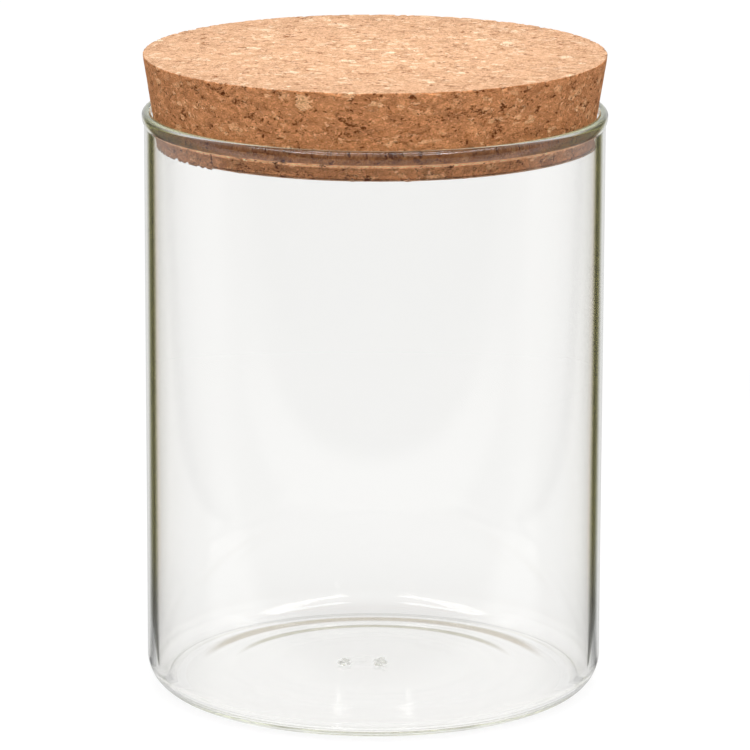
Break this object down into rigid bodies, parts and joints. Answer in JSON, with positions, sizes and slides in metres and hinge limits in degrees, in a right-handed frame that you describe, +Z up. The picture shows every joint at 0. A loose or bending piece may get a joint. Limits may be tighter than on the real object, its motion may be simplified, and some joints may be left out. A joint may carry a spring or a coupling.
{
  "type": "glass jar with cork lid",
  "caption": "Straight-sided clear glass storage jar with a rounded foot and a beaded lip, closed by a tapered lid of pressed cork that wedges in the mouth.",
  "frame": {"origin": "on the jar's axis, at the surface that the jar stands on", "axes": "+Z up along the jar's axis, out of the mouth"},
  "size_m": [0.101, 0.101, 0.1406],
  "materials": {
    "clear_glass": "clear borosilicate, fire-polished, with a faint olive tint where the wall is seen edge on",
    "pressed_cork": "pressed cork granules, sanded, matt and unsealed, with dark bark flecks and small open pits"
  },
  "bodies": {
    "jar": {"glass_jar": "clear_glass"},
    "lid": {"cork_lid": "pressed_cork"}
  },
  "joints": [
    {"name": "lid_lift", "type": "slide", "parent": "jar", "child": "lid", "axis": [0, 0, 1], "range_m": [0, 0.1]}
  ]
}
